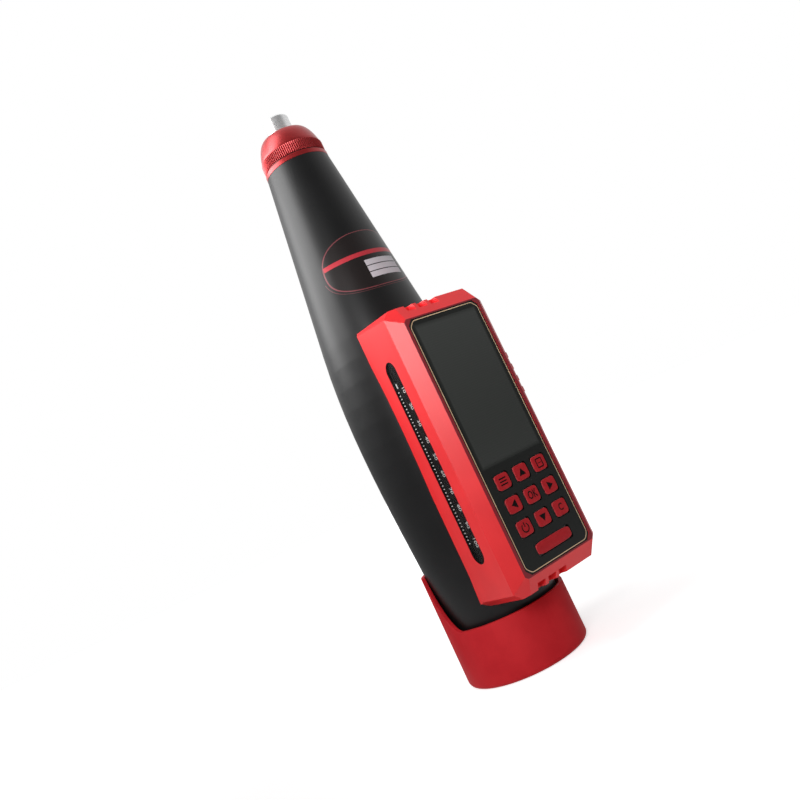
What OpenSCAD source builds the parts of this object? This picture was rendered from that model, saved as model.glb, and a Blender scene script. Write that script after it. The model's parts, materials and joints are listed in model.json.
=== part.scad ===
// Rebound hammer for testing concrete, with a display housing on its tube, shown stowed.
// Origin at the centre of the boot's flat bottom, +Z along the tube to the nose.
// The display faces -Y and the scale window faces -X. Lengths are in millimetres.

/* [Overall] */
// Length from the boot's bottom to the tip of the stowed plunger
total_length = 274; // [260:1:290]
// Length of the nose cap and the plunger's tip in front of the tube
nose_reach = 27; // [25:0.5:29]
// Length of the stowed plunger's tip in front of the nose cap
tip_reach = 10; // [7:0.5:11]

/* [Boot] */
// Outer radius of the boot, which the radii of the tube follow
boot_radius = 28.5; // [28:0.1:31]
// Height of the boot's rim at the front
boot_front_height = 26.2; // [20:0.2:30]
// Height of the boot's rim at the back
boot_back_height = 51.5; // [46:0.5:56]
// Thickness of the boot's floor
boot_floor = 3; // [2:0.1:3.4]
// Thickness of the boot's wall
boot_wall = 1.7; // [1.2:0.1:2]
// Space between the boot's wall and the tube
boot_gap = 1.6; // [1.2:0.1:2]
// Rounding of the boot's bottom edge
boot_edge = 2.4; // [1:0.1:2.8]
// How far in front of the axis the rim starts to climb
boot_climb_start = 2.5; // [0:0.1:5]
// Depth over which the rim climbs
boot_climb_depth = 15.1; // [12:0.1:18]

/* [Tube] */
// Thickness of the tube's wall at the rear
tube_wall = 2.8; // [2.4:0.1:3.2]
// Growth of the tube's radius from the rear to the straight taper
tube_swell = 1.4; // [0.8:0.1:1.8]
// Distance from the housing's top end to the straight taper
taper_gap = 2; // [0:0.5:6]
// Outer radius at the front end
tube_front_radius = 15.6; // [15.2:0.1:16.5]
// Radius of the short bore that takes the nose cap
nose_seat_radius = 12.6; // [12.2:0.1:13]

/* [Nose] */
// Radius of the nose cap's front face
nose_front_radius = 11.2; // [10:0.1:11.5]
// Bevel around that face
nose_bevel = 0.6; // [0.4:0.1:1]
// How far the dome's shoulder lies inside the lip
shoulder_step = 1.2; // [0.8:0.1:2]
// How far the dome's shoulder lies behind the front face
shoulder_drop = 3.2; // [2:0.1:4]
// Height of the plain lip next to the tube
lip_height = 2.3; // [1.5:0.1:3]
// Width of the dark groove beside the lip
groove_width = 0.6; // [0.3:0.1:1]
// Depth of that groove
groove_depth = 0.7; // [0.3:0.1:1]
// Height of the knurled band
knurl_height = 5; // [4:0.1:6]
// Length of the spigot inside the tube
spigot_length = 7; // [6:0.1:7.5]
// Radius of the pocket for sleeve, ring and felt
nose_pocket_radius = 10.2; // [9.5:0.1:10.6]
// Length of the guide sleeve
sleeve_length = 10.5; // [9:0.1:10.6]
// Thickness of the two-part ring
ring_thickness = 2.6; // [2:0.1:3]
// Thickness of the felt seal
felt_thickness = 4; // [3:0.1:4.5]

/* [Striking parts] */
// Radius of the plunger
plunger_radius = 6.1; // [5.8:0.1:6.4]
// Space left behind the guide sleeve when the plunger is fully out
stop_room = 0.95; // [0.5:0.05:1.5]
// Bevel around the plunger's tip
plunger_bevel = 0.8; // [0.3:0.1:1.5]
// Radius of the plunger's rear flange
flange_radius = 7.6; // [7.2:0.1:8]
// Thickness of the plunger's rear flange
flange_thickness = 4; // [3:0.1:4.2]
// Radius of the guide bar
bar_radius = 4.2; // [3.8:0.1:4.4]
// How far the guide bar reaches into the plunger
bar_reach = 26; // [20:1:30]
// Length of the buffer spring
buffer_length = 26; // [20:1:30]
// Space between the bore and the hammer mass
hammer_gap = 2.4; // [2.2:0.1:4.4]
// Length of the hammer mass
hammer_length = 42; // [40:0.5:42.4]
// Distance of the hammer's rear lip from the pawl's pin
lip_gap = 3; // [2.6:0.1:3.5]
// Thickness of the hammer's rear lip
hammer_lip = 3.3; // [3:0.1:3.4]
// How far the neck lies inside that lip
lip_step = 2; // [1.8:0.1:3]
// Length of lip and neck together
hammer_neck = 10; // [9.5:0.1:14]

/* [Disk and pawl] */
// Length of the stowed main spring, from the rear cover to the disk
spring_room = 18; // [17.5:0.1:18.5]
// Space between the disk and the hammer mass drawn fully back
hook_room = 4.6; // [4.4:0.1:5]
// Thickness of the guide disk
disk_thickness = 7; // [6.5:0.1:7.4]
// Distance of the pawl's pin from the bore
pawl_inset = 7.4; // [7.1:0.1:7.6]
// Width of the pawl
pawl_width = 3.4; // [3:0.1:3.6]
// Radius of the pawl's pin
pawl_pin_radius = 1.2; // [1:0.1:1.3]
// Length of the pawl's pin
pawl_pin_length = 13; // [12:0.5:15]
// Thickness of the pawl's tail
tail_thickness = 2.4; // [2:0.1:2.6]
// Thickness of the pawl's hook
hook_thickness = 2.7; // [2.2:0.1:3]
// How far the hook reaches past the hammer's lip
hook_reach = 1.4; // [1:0.1:1.6]

/* [Rear end] */
// Thickness of the rear cover
cover_thickness = 6; // [5:0.1:7]
// Space between boot floor and rear cover
cover_gap = 4; // [3.6:0.1:5]
// Radius of the trip screw
trip_radius = 2.5; // [2:0.1:3]
// Thickness of the lock nut
nut_thickness = 3; // [2.5:0.1:3.4]
// Radius over the lock nut's corners
nut_radius = 4.6; // [4:0.1:5]

/* [Springs] */
// Distance of the main spring's coil from the bore
main_coil_gap = 3.4; // [3:0.1:3.8]
// Wire thickness of the main spring
main_wire = 2; // [1.6:0.1:2.1]
// Coil radius of the impact spring
impact_coil_radius = 9.6; // [9.3:0.1:10]
// Wire thickness of the impact spring
impact_wire = 1.8; // [1.4:0.1:2]
// Wire thickness of the buffer spring
buffer_wire = 0.8; // [0.6:0.1:1]
// Wire thickness of the pawl and button springs
fine_wire = 0.6; // [0.4:0.1:0.6]

/* [Rider and scale] */
// Distance from the window's front end to the rider at rest
rider_rest = 10.1; // [8.8:0.1:12]
// Distance from the window's rear end to the rider fully back
rider_stop = 9.5; // [8.6:0.1:12]
// Length of the rider's block
rider_length = 6; // [5:0.1:7]
// Width of the rider's block
rider_width = 4.8; // [4.4:0.1:5]
// Radius of the rod the rider slides on
rod_radius = 1; // [0.8:0.1:1.1]
// Depth of that rod's middle below the tube's rear radius
rod_depth = 0.6; // [0.4:0.1:1]
// Distance of that rod from the housing's side
rod_inset = 7.15; // [6.95:0.05:7.35]
// Thickness of the rider's arm
arm_thickness = 1.4; // [1:0.1:1.6]
// Height of the rider's arm
arm_height = 2; // [1.6:0.1:2.4]
// Half the width of the scale window
window_half = 4.4; // [4:0.1:4.8]
// Distance from the housing's ends to the scale window
window_end = 17.3; // [16:0.1:19]
// Thickness of the clear window
window_thickness = 0.6; // [0.4:0.1:0.8]
// Thickness of the scale plate
plate_thickness = 0.8; // [0.6:0.1:1]
// Width of the ledge the scale plate and window rest on
window_ledge = 0.6; // [0.4:0.1:0.8]

/* [Display housing] */
// Height of the housing's bottom end
housing_bottom_z = 33.8; // [33:0.2:35]
// Length of the housing
housing_length = 124.2; // [122:0.2:126]
// How far the edge of the housing's foot stands off the tube's rear radius
seat_gap = 3; // [2.6:0.1:3.4]
// Height of the housing's front above that edge's radius
front_height = 20.8; // [20:0.1:22]
// Width of the front's rim beside the panel
bezel_width = 1.45; // [1.2:0.05:1.8]
// How far the side walls lean out from foot to chamfer
wall_lean = 3.85; // [3.5:0.05:4.2]
// How far the foot is set in under the side walls
foot_inset = 1.2; // [0.8:0.1:1.4]
// Width of the side chamfers
side_chamfer = 5.2; // [5:0.1:5.4]
// Depth of the side chamfers
side_chamfer_depth = 4.7; // [4.2:0.1:5]
// Length of the end chamfers
end_chamfer = 6.3; // [6:0.1:6.4]
// Depth of the end chamfers
end_chamfer_depth = 3.3; // [2.8:0.1:3.6]
// How far the ends lean out from the chamfers to the foot
end_lean = 1.6; // [0:0.1:2]
// Height of the slants where the scale's wall meets the ends
end_slant = 3; // [2.6:0.1:3.2]
// How far those slants run in
slant_run = 3.6; // [3:0.1:4]
// Height of the slants where the plain wall meets the ends
plain_slant = 7; // [6:0.1:7.4]
// How far the plain wall's slants run in
plain_run = 6.2; // [5:0.1:7]
// Height of the top slants at the foot
top_foot_slant = 1.2; // [0.8:0.1:2.6]
// How far the corner slants reach past the end chamfers
corner_drop = 1.2; // [0.8:0.1:1.6]
// Thickness of the housing's walls
housing_wall = 2.2; // [2:0.1:2.4]
// Thickness of the housing's ends
end_wall = 3.8; // [3.4:0.1:4.4]
// Width of a notch in the housing's ends
notch_width = 4.5; // [4:0.1:5]
// Spacing of those notches
notch_pitch = 6.4; // [6:0.1:7]
// Depth of those notches
notch_depth = 2.7; // [1.2:0.1:2.8]
// How far the notches sit off the middle, towards the scale
notch_shift = 6.4; // [0:0.2:7]
// Height of a grip rib on the plain side
grip_height = 0.45; // [0.3:0.05:1]
// Thickness of a grip rib
grip_thickness = 2.4; // [2:0.1:3]
// Spacing of the grip ribs
grip_pitch = 5.4; // [5:0.1:6]
// Height of the grip ribs' middle above the housing's middle
grip_rise = 20.4; // [16:0.2:24]

/* [Panel and keys] */
// Width of the front panel
panel_width = 39; // [38:0.2:39.4]
// Length of the front's rim between panel and end chamfers
end_bezel = 0.5; // [0.3:0.1:1.2]
// Thickness of the front panel
panel_thickness = 1.8; // [1.4:0.1:2]
// How far the panel lies below the housing's front
panel_recess = 0.2; // [0:0.1:0.4]
// Bevel of the panel's corners
panel_bevel = 2.4; // [1.5:0.1:3]
// Width of the step the panel rests on
panel_ledge = 1.6; // [1.2:0.1:2]
// Space between the display window and the keys
display_gap = 3.85; // [3:0.05:5]
// Space between the display window and the panel's top edge
display_edge = 2.9; // [2.4:0.1:4]
// Space between the display window and the panel's sides
display_inset = 2.5; // [2.3:0.1:3.5]
// Thickness of the display window
display_thickness = 0.9; // [0.6:0.1:1]
// Space between the keys and the panel's sides
key_edge = 4.95; // [4.2:0.05:5.6]
// Space between the key columns
key_gap = 3.3; // [2.4:0.1:4]
// Space between the key rows
row_gap = 3.5; // [2.8:0.1:4]
// Height of a key
key_height = 6.5; // [6:0.1:7]
// Corner rounding of a key
key_round = 1.2; // [0.8:0.1:1.6]
// How far the keypad sits to the right of the middle
key_shift = 0.7; // [0:0.1:1.2]
// Height of the lowest key row above the wide key
key_rise = 10; // [9:0.1:11]
// Space between the wide key and the panel's sides
wide_key_edge = 9.3; // [8.5:0.1:10]
// Height of the wide key
wide_key_height = 4.9; // [4.6:0.1:5.6]
// Height of the wide key's middle above the panel's lower edge
wide_key_rise = 7; // [6.6:0.1:7.4]
// How far a key stands out of the panel
key_proud = 0.3; // [0.2:0.05:0.5]
// How far a key is pressed in
key_travel = 0.5; // [0.3:0.05:0.6]

/* [Inside the housing] */
// Thickness of the display module
module_thickness = 4; // [3:0.1:4.6]
// Thickness of the keypad mat
mat_thickness = 1.2; // [0.8:0.1:1.6]
// Thickness of the circuit board
board_thickness = 1.6; // [1.2:0.1:2]
// Distance of the mounting saddle from the housing's sides
saddle_inset = 9.3; // [8.9:0.1:10.3]
// Height of the saddle's flat top above the radius of the foot's edge
saddle_height = 3.3; // [2.8:0.1:3.8]
// Radius of a saddle screw
saddle_screw_radius = 1.5; // [1.2:0.1:1.7]
// Thickness of the battery
battery_thickness = 7; // [6:0.1:8]
// Length of the battery
battery_length = 52; // [46:0.5:54]
// Space between the battery and the speaker
battery_gap = 3.3; // [1:0.1:5]
// Radius of the speaker
speaker_radius = 9; // [8:0.1:10]
// Thickness of the speaker
speaker_thickness = 4.6; // [4:0.1:5]
// Thickness of the position sensor's board
sensor_thickness = 1.2; // [1:0.1:1.4]
// Height of the position sensor's board
sensor_depth = 9; // [8:0.1:9.6]

/* [Lock button] */
// Radius of the lock button's head
button_radius = 4; // [3.6:0.1:4.4]
// Thickness of the head
button_head = 3; // [2.6:0.1:3.4]
// Radius of the button's stem
button_stem_radius = 2.4; // [2:0.1:2.5]
// How far the button is pressed in
button_travel = 2.4; // [2:0.1:2.6]

/* [Fits] */
// Space between pieces that move past each other
clearance = 0.4; // [0.3:0.05:0.4]
// Radial space of a running fit
running_fit = 0.05; // [0.02:0.01:0.08]
// How far a cutting shape runs past what it cuts
overrun = 1; // [0.5:0.1:2]

/* [Hidden] */
$fn = 96;

// Shape numbers without a length
boot_climb_power = 1.65;
tube_rear_slope = 0.04;
tube_front_slope = -0.1264;
swell_steps = 14;
climb_steps = 10;
dome_steps = 8;
coil_lap = 3;
slim_share = 0.92;
main_turns = 7;
impact_turns = 16;
buffer_turns = 11;
pawl_turns = 3;
button_turns = 3;
notch_count = 3;
grip_count = 4;
key_columns = 3;
plate_edge_share = 0.38;
flag_share = 0.625;
window_foot_share = 0.54;
grip_share = 0.35;
speaker_share = 0.55;
hex_sides = 6;

// Heights along the axis
tube_rear_z = boot_floor;
tube_front_z = total_length - nose_reach;
nose_front_z = total_length - tip_reach;
cover_rear_z = boot_floor + cover_gap;
cover_front_z = cover_rear_z + cover_thickness;
disk_rear_z = cover_front_z + spring_room;
disk_front_z = disk_rear_z + disk_thickness;
cocked_rear_z = disk_front_z + hook_room;
sleeve_rear_z = tube_front_z - spigot_length - running_fit;

// Hammer and plunger share the free length: the hammer is drawn back as far as the plunger comes out
stroke = (sleeve_rear_z - stop_room - flange_thickness - clearance - hammer_length - cocked_rear_z) / 2;
hammer_rear_z = cocked_rear_z + stroke;
hammer_front_z = hammer_rear_z + hammer_length;
plunger_rear_z = hammer_front_z + clearance;

// Heights in the nose and around the pawl
sleeve_front_z = sleeve_rear_z + sleeve_length;
ring_front_z = sleeve_front_z + ring_thickness;
felt_front_z = ring_front_z + felt_thickness;
knurl_rear_z = tube_front_z + lip_height + groove_width;
knurl_front_z = knurl_rear_z + knurl_height;
bore_cone_z = hammer_front_z + hammer_neck;
bore_cone_end_z = tube_front_z - spigot_length;
tail_rear_z = disk_rear_z - tail_thickness;
tail_pocket = tail_thickness;
pawl_pin_z = disk_rear_z + disk_thickness / 2;
hook_rear_z = cocked_rear_z + hammer_lip + clearance;
hook_front_z = hook_rear_z + hook_thickness;

// Radii that follow from others
boot_inner_radius = boot_radius - boot_wall;
tube_rear_radius = boot_inner_radius - boot_gap;
taper_start_radius = tube_rear_radius + tube_swell;
bore_radius = tube_rear_radius - tube_wall;
hammer_radius = bore_radius - hammer_gap;
main_coil_radius = bore_radius - main_coil_gap;
pawl_offset = bore_radius - pawl_inset;
hammer_lip_radius = pawl_offset - lip_gap;
hammer_neck_radius = hammer_lip_radius - lip_step;
lip_radius = tube_front_radius;
knurl_radius = lip_radius - groove_depth / 2;
guide_bore_radius = plunger_radius + running_fit;
bar_bore_radius = bar_radius + running_fit;
disk_radius = bore_radius - running_fit;

// Outline of the housing, from the panel to the foot
front_half = panel_width / 2 + bezel_width;
housing_half = front_half + side_chamfer;
housing_foot_half = housing_half - wall_lean;
seat_radius = tube_rear_radius + seat_gap;
housing_foot = sqrt(seat_radius * seat_radius - housing_foot_half * housing_foot_half);
housing_front = seat_radius + front_height;
housing_top_z = housing_bottom_z + housing_length;
panel_mid_z = housing_bottom_z + housing_length / 2;
taper_start_z = housing_top_z + taper_gap;

// Rider, window and wall of the scale
window_length = housing_length - 2 * window_end;
rider_z = panel_mid_z + window_length / 2 - rider_rest;
rider_travel = window_length - rider_rest - rider_stop;
rod_offset = tube_rear_radius - rod_depth;
rider_angle = asin((housing_foot_half - rod_inset) / rod_offset);
rod_slot_half = rider_width / 2 + clearance;
rider_low_z = rider_z - rider_travel;
slot_low_z = rider_low_z - rider_length / 2 - 2 * clearance;
slot_high_z = rider_z + rider_length / 2 + 2 * clearance;
housing_wall_rise = housing_front - side_chamfer_depth - housing_foot;
housing_wall_run = housing_half - housing_foot_half;
wall_angle = atan2(housing_wall_run, housing_wall_rise);
window_x = housing_foot_half + housing_wall_run * window_foot_share;
window_y = housing_foot + housing_wall_rise * window_foot_share;
window_depth = window_thickness + plate_thickness;
flag_u = -window_half * flag_share;

// Distance from the axis, and place along the wall, at which the rider's arm meets its flag behind the wall
wall_slope = housing_wall_run / housing_wall_rise;
flag_depth = (housing_wall + 2 * clearance + arm_thickness / 2) / cos(wall_angle);
rider_arm_end = (housing_foot_half - housing_foot * wall_slope - flag_depth)
    / (sin(rider_angle) - wall_slope * cos(rider_angle));
rider_arm_u = (rider_arm_end * cos(rider_angle) - window_y) / cos(wall_angle);

// Stack of the display housing, as distances in front of the axis
panel_face = housing_front - panel_recess;
panel_back = panel_face - panel_thickness;
module_back = panel_back - module_thickness;
board_back = module_back - board_thickness;
saddle_top = seat_radius + saddle_height;
saddle_half = housing_foot_half - saddle_inset;
saddle_low_z = housing_bottom_z + end_chamfer;
saddle_high_z = housing_top_z - end_chamfer;
saddle_screw_heights = [saddle_low_z + end_chamfer, saddle_high_z - end_chamfer];

// Keys and display on the panel, from its lower edge upwards
panel_length = housing_length - 2 * (end_chamfer + end_bezel);
panel_low_z = panel_mid_z - panel_length / 2;
key_width = (panel_width - 2 * key_edge - (key_columns - 1) * key_gap) / key_columns;
key_column_pitch = key_width + key_gap;
key_row_pitch = key_height + row_gap;
wide_key_width = panel_width - 2 * wide_key_edge;
wide_key_z = panel_low_z + wide_key_rise;
key_low_z = wide_key_z + key_rise;
key_mid_z = key_low_z + key_row_pitch;
key_top_z = key_mid_z + key_row_pitch;
display_width = panel_width - 2 * display_inset;
display_low_z = key_top_z + key_height / 2 + display_gap;
display_height = panel_low_z + panel_length - display_edge - display_low_z;
battery_low_z = key_low_z + speaker_radius + battery_gap;
reach = 2 * total_length;

// A plain tube or disk between two heights.
module ring(outer, inner, low, high) {
    difference() {
        translate([0, 0, low]) cylinder(r = outer, h = high - low);
        if (inner > 0) translate([0, 0, low - overrun]) cylinder(r = inner, h = high - low + 2 * overrun);
    }
}

// A spring from height 0 to its length, as tilted half turns; each slim one runs a little into its neighbours.
module coil(radius, wire, length, turns) {
    rise = (length - wire) / (2 * turns);
    tilt = atan2(rise / 2, radius);
    for (i = [0 : 2 * turns - 1]) {
        slim = i % 2 == 1;
        translate([0, 0, wire / 2 + (i + 1 / 2) * rise])
            rotate([0, tilt, slim ? 180 : 0])
                rotate([0, 0, slim ? -coil_lap : 0])
                    rotate_extrude(angle = slim ? 180 + 2 * coil_lap : 180)
                        translate([norm([radius, rise / 2]), 0]) circle(d = slim ? wire * slim_share : wire);
    }
}

// A flat piece parallel to the display, from a distance in front of the axis, drawn as x against z.
module slab(back, thickness) {
    translate([0, -back, 0]) rotate([90, 0, 0]) linear_extrude(thickness) children();
}

// A profile drawn as y against z and run across the whole width.
module across(width) {
    rotate([90, 0, 90]) linear_extrude(width, center = true) children();
}

module bevelled_rectangle(width, low, high, bevel) {
    half = width / 2;
    polygon([
        [-half + bevel, low], [half - bevel, low], [half, low + bevel], [half, high - bevel],
        [half - bevel, high], [-half + bevel, high], [-half, high - bevel], [-half, low + bevel]
    ]);
}

module rounded_rectangle(width, height, round) {
    square([width - 2 * round, height], center = true);
    square([width, height - 2 * round], center = true);
    for (x = [-1, 1], y = [-1, 1])
        translate([x * (width / 2 - round), y * (height / 2 - round)]) circle(r = round);
}

// Everything on the outer side of a plane through a point.
module beyond(point, normal) {
    translate(point)
        rotate([0, acos(normal.z / norm(normal)), atan2(normal.y, normal.x)])
            translate([-reach / 2, -reach / 2, 0]) cube(reach);
}

// Frame of the scale wall: x runs up the wall to the display, y runs along the tube, z points outwards.
module on_scale_wall() {
    translate([-window_x, -window_y, 0]) rotate([0, 0, -90 - wall_angle]) rotate([90, 0, 0]) children();
}

function swell(t) =
    let (span = taper_start_z - boot_front_height,
         a = 2 * t * t * t - 3 * t * t + 1,
         b = 3 * t * t - 2 * t * t * t,
         c = t * t * t - 2 * t * t + t,
         d = t * t * t - t * t)
    a * tube_rear_radius + b * taper_start_radius + span * (c * tube_rear_slope + d * tube_front_slope);

// Outline of the tube: straight in the boot, a slow swell under the housing, then a straight taper.
module tube_solid() {
    rotate_extrude() polygon(concat(
        [[0, tube_rear_z], [tube_rear_radius, tube_rear_z]],
        [for (i = [0 : swell_steps])
            [swell(i / swell_steps), boot_front_height + (taper_start_z - boot_front_height) * i / swell_steps]],
        [[tube_front_radius, tube_front_z], [0, tube_front_z]]
    ));
}

// Boot

function climb(t) = boot_front_height + (boot_back_height - boot_front_height) * pow(t, boot_climb_power);

module end_boot() {
    seat_top = boot_front_height - boot_wall - boot_floor;
    color("firebrick") difference() {
        rotate_extrude() {
            square([boot_radius - boot_edge, boot_back_height]);
            translate([0, boot_edge]) square([boot_radius, boot_back_height - boot_edge]);
            translate([boot_radius - boot_edge, boot_edge]) circle(r = boot_edge);
        }
        translate([0, 0, boot_floor]) cylinder(r = tube_rear_radius, h = boot_back_height);
        translate([0, 0, seat_top]) cylinder(r = boot_inner_radius, h = boot_back_height);
        across(reach) polygon(concat(
            [[-2 * boot_radius, boot_back_height + overrun], [-2 * boot_radius, boot_front_height]],
            [for (i = [0 : climb_steps])
                [-boot_climb_start + boot_climb_depth * i / climb_steps, climb(i / climb_steps)]],
            [[-boot_climb_start + boot_climb_depth, boot_back_height + overrun]]
        ));
        translate([0, 0, pawl_pin_z]) rotate([-90, 0, 0])
            cylinder(r = button_radius + clearance, h = 2 * boot_radius);
    }
}

// Tube and its rear end

module body_tube() {
    color("dimgray") difference() {
        tube_solid();
        rotate_extrude() polygon([
            [0, tube_rear_z - overrun], [bore_radius, tube_rear_z - overrun], [bore_radius, bore_cone_z],
            [nose_seat_radius, bore_cone_end_z], [nose_seat_radius, tube_front_z + overrun],
            [0, tube_front_z + overrun]
        ]);
        rotate([0, 0, -rider_angle]) {
            translate([-rod_slot_half, -2 * bore_radius, slot_low_z])
                cube([2 * rod_slot_half, 2 * bore_radius, slot_high_z - slot_low_z]);
            rod_bar();
        }
        translate([0, 0, pawl_pin_z]) rotate([-90, 0, 0]) {
            cylinder(r = button_stem_radius + running_fit, h = 2 * boot_radius);
            translate([0, 0, tube_rear_radius]) cylinder(r = button_radius + clearance, h = boot_radius);
        }
        for (z = saddle_screw_heights) translate([0, 0, z]) rotate([90, 0, 0])
            cylinder(r = saddle_screw_radius, h = saddle_top);
    }
}

module rear_cover() {
    color("gray") ring(bore_radius, trip_radius, cover_rear_z, cover_front_z);
}

module trip_screw() {
    low = cover_rear_z - nut_thickness - running_fit;
    color("silver") translate([0, 0, low]) cylinder(r = trip_radius, h = tail_rear_z - clearance - low);
}

module trip_lock_nut() {
    color("silver") difference() {
        translate([0, 0, cover_rear_z - nut_thickness]) cylinder(r = nut_radius, h = nut_thickness, $fn = hex_sides);
        cylinder(r = trip_radius, h = cover_front_z);
    }
}

module main_spring() {
    color("silver") translate([0, 0, cover_front_z])
        coil(main_coil_radius, main_wire, disk_rear_z - cover_front_z, main_turns);
}

// Nose

// Dome of the nose cap, from the knurled band past its shoulder to the bevel of the front face.
function dome(t) =
    let (low = [knurl_radius - groove_depth / 2, knurl_front_z + groove_width],
         shoulder = [lip_radius - shoulder_step, nose_front_z - shoulder_drop],
         high = [nose_front_radius + nose_bevel, nose_front_z - nose_bevel])
    (1 - t) * (1 - t) * low + 2 * t * (1 - t) * shoulder + t * t * high;

module nose_cap() {
    color("crimson") rotate_extrude() polygon(concat(
        [[nose_seat_radius, bore_cone_end_z], [nose_seat_radius, tube_front_z], [lip_radius, tube_front_z],
         [lip_radius, tube_front_z + lip_height], [lip_radius - groove_depth, tube_front_z + lip_height],
         [lip_radius - groove_depth, knurl_rear_z], [knurl_radius, knurl_rear_z], [knurl_radius, knurl_front_z]],
        [for (i = [0 : dome_steps]) dome(i / dome_steps)],
        [[nose_front_radius, nose_front_z], [guide_bore_radius, nose_front_z], [guide_bore_radius, felt_front_z],
         [nose_pocket_radius, felt_front_z], [nose_pocket_radius, bore_cone_end_z]]
    ));
}

module guide_sleeve() {
    color("goldenrod") ring(nose_pocket_radius, guide_bore_radius, sleeve_rear_z, sleeve_front_z);
}

module two_part_ring() {
    color("gray") difference() {
        ring(nose_pocket_radius, guide_bore_radius + clearance, sleeve_front_z, ring_front_z);
        translate([-clearance / 2, -2 * nose_pocket_radius, sleeve_front_z - overrun])
            cube([clearance, 4 * nose_pocket_radius, ring_thickness + 2 * overrun]);
    }
}

module felt_seal() {
    color("beige") ring(nose_pocket_radius, guide_bore_radius, ring_front_z, felt_front_z);
}

module impact_spring() {
    color("silver") translate([0, 0, hammer_front_z])
        coil(impact_coil_radius, impact_wire, sleeve_rear_z - hammer_front_z, impact_turns);
}

// Plunger, guide bar and disk, which move together

module impact_plunger() {
    bore_end = plunger_rear_z + bar_reach + buffer_length;
    color("lightgray") rotate_extrude() polygon([
        [bar_bore_radius, plunger_rear_z], [flange_radius, plunger_rear_z],
        [flange_radius, plunger_rear_z + flange_thickness], [plunger_radius, plunger_rear_z + flange_thickness],
        [plunger_radius, total_length - plunger_bevel], [plunger_radius - plunger_bevel, total_length],
        [0, total_length], [0, bore_end], [bar_bore_radius, bore_end]
    ]);
}

module buffer_spring() {
    color("silver") translate([0, 0, plunger_rear_z + bar_reach])
        coil(bar_radius - buffer_wire, buffer_wire, buffer_length, buffer_turns);
}

module guide_bar() {
    low = disk_rear_z + tail_pocket + clearance;
    color("lightgray") translate([0, 0, low]) cylinder(r = bar_radius, h = plunger_rear_z + bar_reach - low);
}

module guide_disk() {
    slot_half = pawl_width / 2 + clearance;
    spring_side = slot_half + pawl_turns * 2 * fine_wire;
    groove_half = button_stem_radius + clearance;
    color("gray") difference() {
        ring(disk_radius, 0, disk_rear_z, disk_front_z);
        translate([0, 0, disk_rear_z + tail_pocket + clearance]) cylinder(r = bar_radius, h = disk_thickness);
        translate([-trip_radius - clearance, -slot_half, disk_rear_z - overrun])
            cube([pawl_offset + trip_radius + clearance, 2 * slot_half, tail_pocket + overrun]);
        translate([pawl_offset - slot_half - clearance, -slot_half, disk_rear_z - overrun])
            cube([2 * (slot_half + clearance), slot_half + spring_side, disk_thickness + 2 * overrun]);
        translate([pawl_offset, 0, pawl_pin_z]) rotate([90, 0, 0])
            cylinder(r = pawl_pin_radius, h = pawl_pin_length, center = true);
        rotate([0, 0, -rider_angle])
            translate([-rod_slot_half, -2 * bore_radius, disk_rear_z - overrun])
                cube([2 * rod_slot_half, 2 * bore_radius - hammer_radius, disk_thickness + 2 * overrun]);
        translate([-groove_half, hammer_radius - clearance, disk_rear_z - overrun])
            cube([2 * groove_half, bore_radius, disk_thickness + 2 * overrun]);
    }
}

module pawl() {
    arm_half = pawl_width / 2;
    hook_tip = hammer_lip_radius - hook_reach;
    color("darkgray") difference() {
        rotate([90, 0, 0]) linear_extrude(pawl_width, center = true) polygon([
            [0, tail_rear_z], [pawl_offset + arm_half, tail_rear_z], [pawl_offset + arm_half, hook_front_z],
            [hook_tip + hook_thickness, hook_front_z], [hook_tip, hook_rear_z + clearance], [hook_tip, hook_rear_z],
            [pawl_offset - arm_half, hook_rear_z], [pawl_offset - arm_half, disk_rear_z - clearance],
            [0, disk_rear_z - clearance]
        ]);
        translate([pawl_offset, 0, pawl_pin_z]) rotate([90, 0, 0])
            cylinder(r = pawl_pin_radius + running_fit, h = 2 * pawl_width, center = true);
    }
}

module pawl_pin() {
    color("silver") translate([pawl_offset, 0, pawl_pin_z]) rotate([90, 0, 0])
        cylinder(r = pawl_pin_radius, h = pawl_pin_length, center = true);
}

module pawl_spring() {
    length = pawl_turns * 2 * fine_wire;
    color("silver") translate([pawl_offset, pawl_width / 2 + clearance, pawl_pin_z]) rotate([-90, 0, 0])
        coil(pawl_pin_radius + fine_wire / 2, fine_wire, length, pawl_turns);
}

// Hammer mass

module hammer_mass() {
    neck_z = hammer_rear_z + hammer_lip;
    body_z = hammer_rear_z + hammer_neck;
    color("slategray") rotate_extrude() polygon([
        [bar_bore_radius, hammer_rear_z], [hammer_lip_radius, hammer_rear_z], [hammer_lip_radius, neck_z],
        [hammer_neck_radius, neck_z], [hammer_neck_radius, body_z],
        [hammer_radius - plunger_bevel, body_z], [hammer_radius, body_z + plunger_bevel],
        [hammer_radius, hammer_front_z - plunger_bevel], [hammer_radius - plunger_bevel, hammer_front_z],
        [bar_bore_radius, hammer_front_z]
    ]);
}

// Rider, its rod and the scale

module rod_bar() {
    end = rider_length / 2;
    translate([0, -rod_offset, slot_low_z - end]) cylinder(r = rod_radius, h = slot_high_z - slot_low_z + 2 * end);
}

module rider_rod() {
    color("silver") rotate([0, 0, -rider_angle]) rod_bar();
}

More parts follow.
